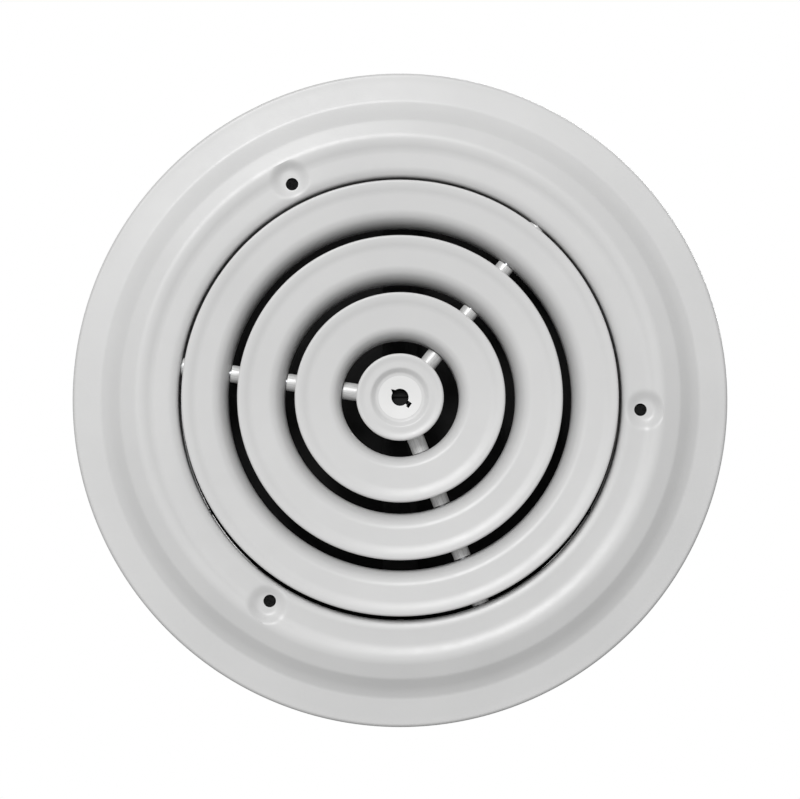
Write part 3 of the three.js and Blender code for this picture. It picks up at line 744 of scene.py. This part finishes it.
# ------------------------------------------------------------------ spacer tubes
def tube_rows(start, end):
    """Rings of (x, radius) points along a tube from wall to wall. The ends follow the round walls,
    and their edges are rolled."""
    edge = [0.0, TUBE_ROLL * 0.4, TUBE_ROLL]
    turns = [2 * math.pi * k / TUBE_SIDES for k in range(TUBE_SIDES)]
    near = [math.sqrt(start ** 2 - (TUBE_RADIUS * math.cos(turn)) ** 2) for turn in turns]
    far = [math.sqrt(end ** 2 - (TUBE_RADIUS * math.cos(turn)) ** 2) for turn in turns]
    rises = [math.sqrt(TUBE_ROLL ** 2 - (TUBE_ROLL - inset) ** 2) for inset in edge]
    rolled = [TUBE_RADIUS - (TUBE_ROLL - rise) / 2 for rise in rises]
    rows = [[(x + inset, radius) for x in near] for inset, radius in zip(edge, rolled)]
    for i in range(1, TUBE_STATIONS + 1):
        share = i / (TUBE_STATIONS + 1)
        row = [a + TUBE_ROLL + (b - a - 2 * TUBE_ROLL) * share for a, b in zip(near, far)]
        rows.append([(x, TUBE_RADIUS) for x in row])
    rows += [[(x - inset, radius) for x in far] for inset, radius in zip(edge[::-1], rolled[::-1])]
    rows.append([(x, TUBE_BORE) for x in far])
    rows.append([(x, TUBE_BORE) for x in near])
    return rows


def make_spacer(node, angle):
    """A spacer tube, with a UV map that runs along it for the draw lines."""
    where = node.split("_")[1]
    start, end = SPANS[where]
    bm = bmesh.new()
    uv_layer = bm.loops.layers.uv.new("UVMap")
    bands = []
    for row in tube_rows(start + TUBE_CLEARANCES[where], end - TUBE_ROLL):
        points = []
        for k, (x, radius) in enumerate(row):
            turn = 2 * math.pi * k / TUBE_SIDES
            points.append((x, radius * math.cos(turn), radius * math.sin(turn)))
        bands.append([bm.verts.new(Vector(point) * MM) for point in points])
    count = len(bands)
    for i in range(count):
        here, there = bands[i], bands[(i + 1) % count]
        for k in range(TUBE_SIDES):
            j = (k + 1) % TUBE_SIDES
            face = bm.faces.new((here[k], here[j], there[j], there[k]))
            for loop, (u, v) in zip(face.loops, ((k, i), (k + 1, i), (k + 1, i + 1), (k, i + 1))):
                loop[uv_layer].uv = (u / TUBE_SIDES, v / count)
    turn_to(bm, angle, SPOKE_Z)
    piece = finish_mesh(node + "_tube", bm, TUBE, 50)
    return settle(piece, "diffuser", "spacer_tube", node)


# ------------------------------------------------------------------ neck, seal and core
def make_collar():
    """The neck wall, with a rounded top edge, a swaged bead and its holes."""
    low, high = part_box("neck_collar")
    bottom, top = low.z / MM, high.z / MM
    inner, outer = NECK_RADIUS, NECK_RADIUS + SHEET
    bead_z, bead_half, bead_depth = 38.0, 1.6, 0.5
    turns = [rad(turn) for turn in range(-90, 91, 15)]
    bead = [(bead_depth * math.cos(turn), bead_z + bead_half * math.sin(turn)) for turn in turns]
    outline = (
        [(inner, bottom), (outer, bottom)]
        + [(outer - depth, z) for depth, z in bead]
        + [(outer, top - 0.3), (outer - 0.3, top), (inner + 0.3, top), (inner, top - 0.3)]
        + [(inner - depth, z) for depth, z in reversed(bead)]
    )
    piece = finish_mesh("neck_wall", revolve(outline, 360), POWDER)
    hole = RIVET_RADIUS + CLEARANCE
    cutters = round_holes(SEAT_RIVET_ANGLES, NECK_RADIUS, hole, SEAT_RIVET_Z)
    cutters += round_holes(BRIDGE_ANGLES, NECK_RADIUS, hole, BRIDGE_RIVET_Z)
    cut(piece, cutters)
    return settle(piece, "diffuser", "white_paint", "neck_collar")


def make_seal():
    """The foam ring behind the frame's band, hollowed where the screw pads are pressed up."""
    low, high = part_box("neck_seal")
    bottom, top, outer = low.z / MM, high.z / MM, high.x / MM
    outline = rounded_section(104.8, outer, bottom, top, 0.8, 4)
    piece = finish_mesh("foam_seal", revolve(outline, 240), FOAM)
    hollows = []
    for cx, cy in PADS:
        hollow = peg(11, 9, 4, 64)
        reach = SCREW_CIRCLE + 1
        hollows.append(move(hollow, cx * reach, cy * reach, bottom - 0.35))
    cut(piece, hollows)
    return settle(piece, "diffuser", "black_foam", "neck_seal")


def make_core():
    """The sleeve behind the hub disc, drilled for the inner ends of the rods."""
    low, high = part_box("hub_core")
    bottom, top = low.z / MM, high.z / MM
    wall = 1.2
    outline = rounded_section(CORE_RADIUS - wall, CORE_RADIUS, bottom, top, 0.4, 3)
    piece = finish_mesh("hub_sleeve", revolve(outline, 128), POWDER)
    cut(piece, spoke_holes(CORE_RADIUS))
    return settle(piece, "diffuser", "white_paint", "hub_core")


# ------------------------------------------------------------------ rods, rivets and clips
def make_spoke_rod(letter, angle):
    """A rod from the hub's sleeve out through the neck, with a domed head outside."""
    start, end, head = CORE_RADIUS - 2.2, ROD_HEAD_START, ROD_HEAD_RADIUS
    outline = [(0, start), (ROD_RADIUS - 0.3, start), (ROD_RADIUS, start + 0.3)]
    outline += [(ROD_RADIUS, end), (head, end)]
    outline += domed_head(head, end + 0.2, end + 1)
    piece = finish_mesh(f"spoke_pin_{letter}", to_radius(spindle(outline), angle, SPOKE_Z), ZINC)
    return settle(piece, "diffuser", "zinc_steel", f"spoke_rod_{letter}")


def make_rivet(node, angle, height, sheet_inner):
    """A rivet with a flat head inside and a domed head outside the neck."""
    inner = sheet_inner - 1.3
    outer = NECK_RADIUS + SHEET + 0.3
    head = RIVET_HEAD_RADIUS
    outline = [(0, inner), (head - 0.3, inner), (head, inner + 0.3), (head, inner + 1)]
    outline += [(RIVET_RADIUS, inner + 1), (RIVET_RADIUS, outer), (head, outer)]
    outline += domed_head(head, outer + 0.2, outer + 1)
    piece = finish_mesh(node + "_body", to_radius(spindle(outline), angle, height), ZINC)
    return settle(piece, "diffuser", "zinc_steel", node)


def make_hinge_rod():
    """The plain rod that both leaves hang on, with chamfered ends."""
    half, radius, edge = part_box("hinge_rod")[1].y / MM, HINGE_ROD_RADIUS, 0.4
    outline = [(0, -half), (radius - edge, -half), (radius, -half + edge)]
    outline += [(radius, half - edge), (radius - edge, half), (0, half)]
    piece = finish_mesh("hinge_pin", move(lay_along_y(spindle(outline)), z=HINGE_Z), ZINC)
    return settle(piece, "diffuser", "zinc_steel", "hinge_rod")


def make_clip(node):
    """A toothed push-on washer on the hinge rod."""
    low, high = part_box(node)
    near, far = low.y / MM, high.y / MM
    inner, outer, edge = HINGE_ROD_RADIUS + CLEARANCE, 4.0, 0.25
    outline = [(inner, near), (outer - edge, near), (outer, near + edge)]
    outline += [(outer, far - edge), (outer - edge, far), (inner, far)]
    bm = move(lay_along_y(revolve(outline, 96)), z=HINGE_Z)
    piece = finish_mesh(node + "_washer", bm, ZINC)
    notches = []
    for k in range(6):
        notch = slab_box((inner - 0.4, 2.9), (-0.3, 0.3), (near - 1, far + 1))
        notches.append(move(lay_along_y(spin(notch, 60 * k, "Z")), z=HINGE_Z))
    cut(piece, notches)
    return settle(piece, "diffuser", "zinc_steel", node)


# ------------------------------------------------------------------ damper
def make_seat():
    """The angle-section ring that the leaves rest on, with its two ears and reliefs."""
    low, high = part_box("damper_seat")
    outer, bottom = high.x / MM, low.z / MM
    top = bottom + SEAT_HEIGHT
    inner, wall, under, bend = SEAT_INNER, outer - SEAT_SHEET, top - SEAT_SHEET, 1.2
    outline = (
        [(inner, under + 0.2), (inner + 0.2, under), (wall - 0.4, under), (wall, under - 0.4)]
        + [(wall, bottom + 0.2), (wall + 0.2, bottom), (outer - 0.2, bottom), (outer, bottom + 0.2)]
        + arc(outer - bend, top - bend, bend, 0, 90, 5)
        + [(inner + 0.2, top), (inner, top - 0.2)]
    )
    piece = finish_mesh("seat_ring", revolve(outline, 320), BLACK_PAINT_AND_SHADE)
    for side in (1, -1):
        add_ear(piece, side, bottom, top, high.z / MM)
    cut(piece, round_holes(SEAT_RIVET_ANGLES, outer, RIVET_RADIUS + CLEARANCE, SEAT_RIVET_Z))
    return settle(piece, "diffuser", "black_paint", "damper_seat")


def add_ear(piece, side, bottom, top, ear_top):
    """An upright ear of the seat ring, with the reliefs at its foot and the hole for the rod."""
    half, corner_radius = 5.0, 3.0
    corner = arc(half - corner_radius, ear_top - corner_radius, corner_radius, 0, 75, 5)
    tongue = [(-half, top - 0.5), (half, top - 0.5)] + corner + mirrored(corner)
    reach = sorted((side * EAR_INNER, side * (EAR_INNER + SEAT_SHEET)))
    weld(piece, [lay_along_y(slab([(x, -z) for x, z in tongue], *reach))])
    relief_below = sorted((side * 95, side * 101.1))
    relief_inside = sorted((side * 90, side * EAR_INNER))
    cut(piece, [
        slab_box((-9, 9), relief_below, (bottom - 1, top - SEAT_SHEET - 0.1)),
        slab_box((-4.6, 4.6), relief_inside, (top - 2, top + 1)),
    ])
    cut(piece, [turn_to(rod_mesh(HINGE_ROD_RADIUS + 0.4, 95, 102), 90 * side, HINGE_Z)])


def make_leaf(node, body, side, knuckles):
    """A half-disc leaf with pressed ribs, rolled knuckles on the rod and a lug for the saddle."""
    corner = math.degrees(math.asin(LEAF_HALF_LENGTH / LEAF_RADIUS))
    rim = arc(0, 0, LEAF_RADIUS, -corner, corner, 120)
    outline = [(LEAF_EDGE, -LEAF_HALF_LENGTH)] + rim + [(LEAF_EDGE, LEAF_HALF_LENGTH)]
    plate = slab(outline, -LEAF_HALF_SHEET, LEAF_HALF_SHEET)
    piece = finish_mesh(node + "_plate", soften(plate, 0.15, 60), BLACK_PAINT_AND_SHADE)
    additions = [make_rib(x, length) for x, length in LEAF_RIBS]
    for y in knuckles:
        additions += make_knuckle(y)
    additions.append(make_lug())
    weld(piece, additions)
    cut(piece, [knuckle_bore(y) for y in knuckles])
    if side < 0:
        piece.data.transform(Matrix.Rotation(math.pi, 4, "Z"))
    piece.data.transform(Matrix.Translation((0, 0, HINGE_Z * MM)))
    return settle(piece, body, "black_paint", node)


def make_knuckle(y):
    """A rolled barrel round the hinge rod, and the tongue that joins it to the leaf."""
    half, radius, edge = 6.0, 3.0, 0.2
    outline = [(0, y - half), (radius - edge, y - half), (radius, y - half + edge)]
    outline += [(radius, y + half - edge), (radius - edge, y + half), (0, y + half)]
    thick = LEAF_HALF_SHEET * 0.98
    tongue = slab_box((1.5, LEAF_EDGE + 1), (y - 5.9, y + 5.9), (-thick, thick))
    return [lay_along_y(spindle(outline)), tongue]


def knuckle_bore(y):
    """A cutter for the hole through a knuckle."""
    radius, half = HINGE_ROD_RADIUS + 0.45, 9.0
    return lay_along_y(spindle([(0, y - half), (radius, y - half), (radius, y + half), (0, y + half)]))


def make_rib(x, half_length, half_width=2.5, rise=1.1):
    """A low pressed rib on top of a leaf, along Y, with rounded ends."""
    bm = bmesh.new()
    around, along = 12, 20
    rows = []
    for i in range(-along, along + 1):
        y = half_length * i / along
        past = max(0.0, (abs(y) - half_length + half_width) / half_width)
        taper = max(0.12, math.sqrt(max(0.0, 1 - past ** 2)))
        row = []
        for k in range(around + 1):
            turn = math.pi * k / around
            across, up = half_width * taper * math.cos(turn), rise * taper * math.sin(turn)
            row.append((x + across, y, 0.3 + up))
        row += [(x - half_width * taper, y, -0.1), (x + half_width * taper, y, -0.1)]
        rows.append([bm.verts.new(Vector(point) * MM) for point in row])
    for here, there in zip(rows, rows[1:]):
        for k in range(len(here)):
            j = (k + 1) % len(here)
            bm.faces.new((here[k], here[j], there[j], there[k]))
    bm.faces.new(list(reversed(rows[0])))
    bm.faces.new(rows[-1])
    bmesh.ops.recalc_face_normals(bm, faces=bm.faces)
    return bm


def make_lug():
    """A bent lug under the leaf, whose round nose the saddle lifts."""
    x, drop = LUG_REACH * math.cos(rad(LUG_TILT)), LUG_REACH * math.sin(rad(LUG_TILT))
    side = [(LEAF_EDGE + 0.4, 0), (x - LUG_NOSE, -drop)]
    side += arc(x, -drop, LUG_NOSE, 195, 360, 11)
    side += [(x + LUG_NOSE + 5, 0)]
    return lay_along_y(slab([(px, -pz) for px, pz in side], -0.6, 0.6))


def make_bridge():
    """The strap across the neck: a flat bar with its ends bent up and riveted to the wall."""
    low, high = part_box("damper_bridge")
    half, bottom, top = high.y / MM, low.z / MM, high.z / MM
    bend = 2.0
    under = [(-half, top)] + arc(-half + bend, bottom + bend, bend, 180, 270, 6)
    over = [(half - STRAP_SHEET, top)] + arc(half - bend, bottom + bend, bend - STRAP_SHEET, 0, -90, 6)
    section = under + mirrored(under) + over + mirrored(over)
    bm = spin(slab([(-z, y) for y, z in section], -STRAP_HALF_WIDTH, STRAP_HALF_WIDTH), 90, "Y")
    piece = finish_mesh("bridge_strap", soften(bm, 0.2, 60), BLACK_PAINT_AND_SHADE)
    holes = round_holes(BRIDGE_ANGLES, half, RIVET_RADIUS + CLEARANCE, BRIDGE_RIVET_Z)
    cut(piece, holes + [screw_hole(bottom - 2, bottom + 4)])
    return settle(piece, "diffuser", "black_paint", "damper_bridge")


def screw_hole(low, high):
    """A cutter for the adjusting screw's hole, upright on the axis."""
    radius = SCREW_RADIUS + CLEARANCE
    return spindle([(0, low), (radius, low), (radius, high), (0, high)])


def make_nut():
    """The hexagon nut on the bridge: a chamfered blank with six flats cut on it."""
    low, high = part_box("bridge_nut")
    bottom, top = low.z / MM, high.z / MM
    flat = NUT_RADIUS * math.cos(rad(30))
    outline = [(0, bottom), (flat, bottom), (NUT_RADIUS, bottom + 0.5)]
    outline += [(NUT_RADIUS, top - 0.5), (flat, top), (0, top)]
    piece = finish_mesh("nut_body", spindle(outline, 96), ZINC)
    for k in range(6):
        cut(piece, [spin(slab_box((flat, 8), (-8, 8), (bottom - 1, top + 1)), 60 * k + 30, "Z")])
    cut(piece, [screw_hole(bottom - 2, top + 2)])
    return settle(piece, "diffuser", "zinc_steel", "bridge_nut")


def make_saddle():
    """The stirrup that the screw lifts: a web with two arms folded up and in under the lugs."""
    low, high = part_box("lift_saddle")
    half, bottom, top = high.x / MM, low.z / MM, high.z / MM
    bend = 2.4
    inside = bend - SADDLE_SHEET
    outer = [(SADDLE_LIP, top)] + arc(half - bend, top - bend, bend, 90, 0, 6)
    outer += arc(half - bend, bottom + bend, bend, 0, -90, 6)
    inner = arc(half - bend, bottom + bend, inside, -90, 0, 6)
    inner += arc(half - bend, top - bend, inside, 0, 90, 6) + [(SADDLE_LIP, top - SADDLE_SHEET)]
    section = outer + mirrored(outer) + mirrored(inner) + inner
    bm = slab([(x, -z) for x, z in section], -3, 3)
    piece = finish_mesh("saddle_stirrup", soften(lay_along_y(bm), 0.2, 60), ZINC)
    return settle(piece, "saddle", "zinc_steel", "lift_saddle")


def make_screw():
    """The adjusting screw: rolled thread, and a slotted round head."""
    low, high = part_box("adjusting_screw")
    bottom, end = low.z / MM, high.z / MM
    head, top = SCREW_HEAD_RADIUS, bottom + SCREW_HEAD_HEIGHT
    root = SCREW_RADIUS - SCREW_THREAD_DEPTH
    thread = []
    z = top + 0.6
    while z + SCREW_PITCH < end - 0.5:
        crest = [(SCREW_RADIUS, z + SCREW_PITCH * share) for share in (0.4, 0.6)]
        thread += [(root, z)] + crest
        z += SCREW_PITCH
    outline = (
        [(0, bottom), (head - 1, bottom)]
        + arc(head - 1, bottom + 1, 1, -75, 0, 5)
        + [(head, top - 0.3), (head - 0.3, top), (root, top)]
        + thread
        + [(root, z), (SCREW_RADIUS - 0.8, end), (0, end)]
    )
    piece = finish_mesh("screw_body", spindle(outline, 64), BLACK_PAINT_AND_SHADE)
    cut(piece, [slab_box((-6, 6), (-0.6, 0.6), (bottom - 1, bottom + 1.4))])
    return settle(piece, "screw", "black_paint", "adjusting_screw")


# ------------------------------------------------------------------ the whole object
def make_parts():
    """Every piece, from the frame inwards and up to the damper."""
    make_frame()
    make_collar()
    make_seal()
    for node, throat in THROATS.items():
        make_ring(node, throat, THROAT_BENDS[node])
    make_hub()
    make_core()
    for letter, angle in SPOKE_ANGLES.items():
        make_spoke_rod(letter, angle)
        for where in SPANS:
            make_spacer(f"spacer_{where}_{letter}", angle)
    make_seat()
    make_bridge()
    seat_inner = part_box("damper_seat")[1].x / MM - SEAT_SHEET
    strap_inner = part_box("damper_bridge")[1].y / MM - STRAP_SHEET
    for letter, angle in SEAT_RIVET_ANGLES.items():
        make_rivet(f"seat_rivet_{letter}", angle, SEAT_RIVET_Z, seat_inner)
    for place, angle in BRIDGE_ANGLES.items():
        make_rivet(f"bridge_rivet_{place}", angle, BRIDGE_RIVET_Z, strap_inner)
        make_clip(f"rod_clip_{place}")
    make_hinge_rod()
    make_nut()
    make_leaf("damper_leaf_right", "right_leaf", 1, RIGHT_KNUCKLES)
    make_leaf("damper_leaf_left", "left_leaf", -1, [-y for y in LEFT_KNUCKLES])
    make_saddle()
    make_screw()


# ------------------------------------------------------------------ stage, lights and camera
def make_floor():
    """A plain pale floor, well below the face."""
    half, level = 4.0, -4.2
    corners = [(-half, -half, level), (half, -half, level), (half, half, level), (-half, half, level)]
    mesh = bpy.data.meshes.new("floor")
    mesh.from_pydata(corners, [], [(0, 1, 2, 3)])
    floor = bpy.data.objects.new("floor", mesh)
    material, _, _, shader = new_material("pale_floor")
    shader.inputs["Base Color"].default_value = (0.85, 0.85, 0.85, 1)
    shader.inputs["Roughness"].default_value = 0.9
    mesh.materials.append(material)
    bpy.context.scene.collection.objects.link(floor)


def make_light(name, place, aim, size, power):
    """A soft square area light that the camera can't see. Places are in metres, power in watts."""
    data = bpy.data.lights.new(name, "AREA")
    data.shape = "RECTANGLE"
    data.size = data.size_y = size
    data.energy = power
    light = bpy.data.objects.new(name, data)
    light.location = place
    light.rotation_euler = (Vector(aim) - Vector(place)).to_track_quat("-Z", "Y").to_euler()
    bpy.context.scene.collection.objects.link(light)
    light.visible_camera = False


def make_world():
    """White where the camera sees it. What lights the object is bright below and dim behind it."""
    world = bpy.data.worlds.new("world")
    bpy.context.scene.world = world
    world.use_nodes = True
    nodes, links = world.node_tree.nodes, world.node_tree.links
    seen = nodes["Background"]
    seen.inputs["Color"].default_value = (1, 1, 1, 1)
    seen.inputs["Strength"].default_value = 1.0
    lighting = nodes.new("ShaderNodeBackground")
    lighting.inputs["Color"].default_value = (1, 1, 1, 1)
    direction = nodes.new("ShaderNodeTexCoord").outputs["Generated"]
    split = nodes.new("ShaderNodeSeparateXYZ")
    links.new(direction, split.inputs["Vector"])
    strength = spread(nodes, links, split.outputs["Z"], 0.40, 0.2, -0.35, 0.25)
    links.new(strength, lighting.inputs["Strength"])
    path = nodes.new("ShaderNodeLightPath")
    mix = nodes.new("ShaderNodeMixShader")
    links.new(path.outputs["Is Camera Ray"], mix.inputs["Fac"])
    links.new(lighting.outputs["Background"], mix.inputs[1])
    links.new(seen.outputs["Background"], mix.inputs[2])
    links.new(mix.outputs["Shader"], nodes["World Output"].inputs["Surface"])


def make_camera():
    """Looks up at the face from below, a few degrees towards the foot of the view. The lens is
    chosen so that the face fills its share of the view's width."""
    tilt = rad(CAMERA_TILT)
    width_at_face = 2 * FACE_RADIUS * MM / FACE_SHARE
    data = bpy.data.cameras.new("camera")
    data.sensor_width = SENSOR_WIDTH
    data.lens = SENSOR_WIDTH * CAMERA_DISTANCE / width_at_face
    data.clip_end = 50
    camera = bpy.data.objects.new("camera", data)
    back = Vector((0, math.sin(tilt), -math.cos(tilt)))
    right = Vector((1, 0, 0))
    up = back.cross(right)
    turn = Matrix((right, up, back)).transposed().to_4x4()
    camera.matrix_world = Matrix.Translation(back * CAMERA_DISTANCE) @ turn
    bpy.context.scene.collection.objects.link(camera)
    bpy.context.scene.camera = camera


make_camera()
make_world()
make_floor()
make_light("key", (-0.62, -1.65, -3.2), (0, 0, 0), 1.3, 78)
make_light("front", (-0.5, -0.2, -3.4), (0, 0, 0), 3.0, 18)
make_light("back_top", (0.8, -0.9, 1.5), (0, 0, 0.02), 1.2, 22)
make_parts()
bpy.context.scene.view_settings.view_transform = "Standard"
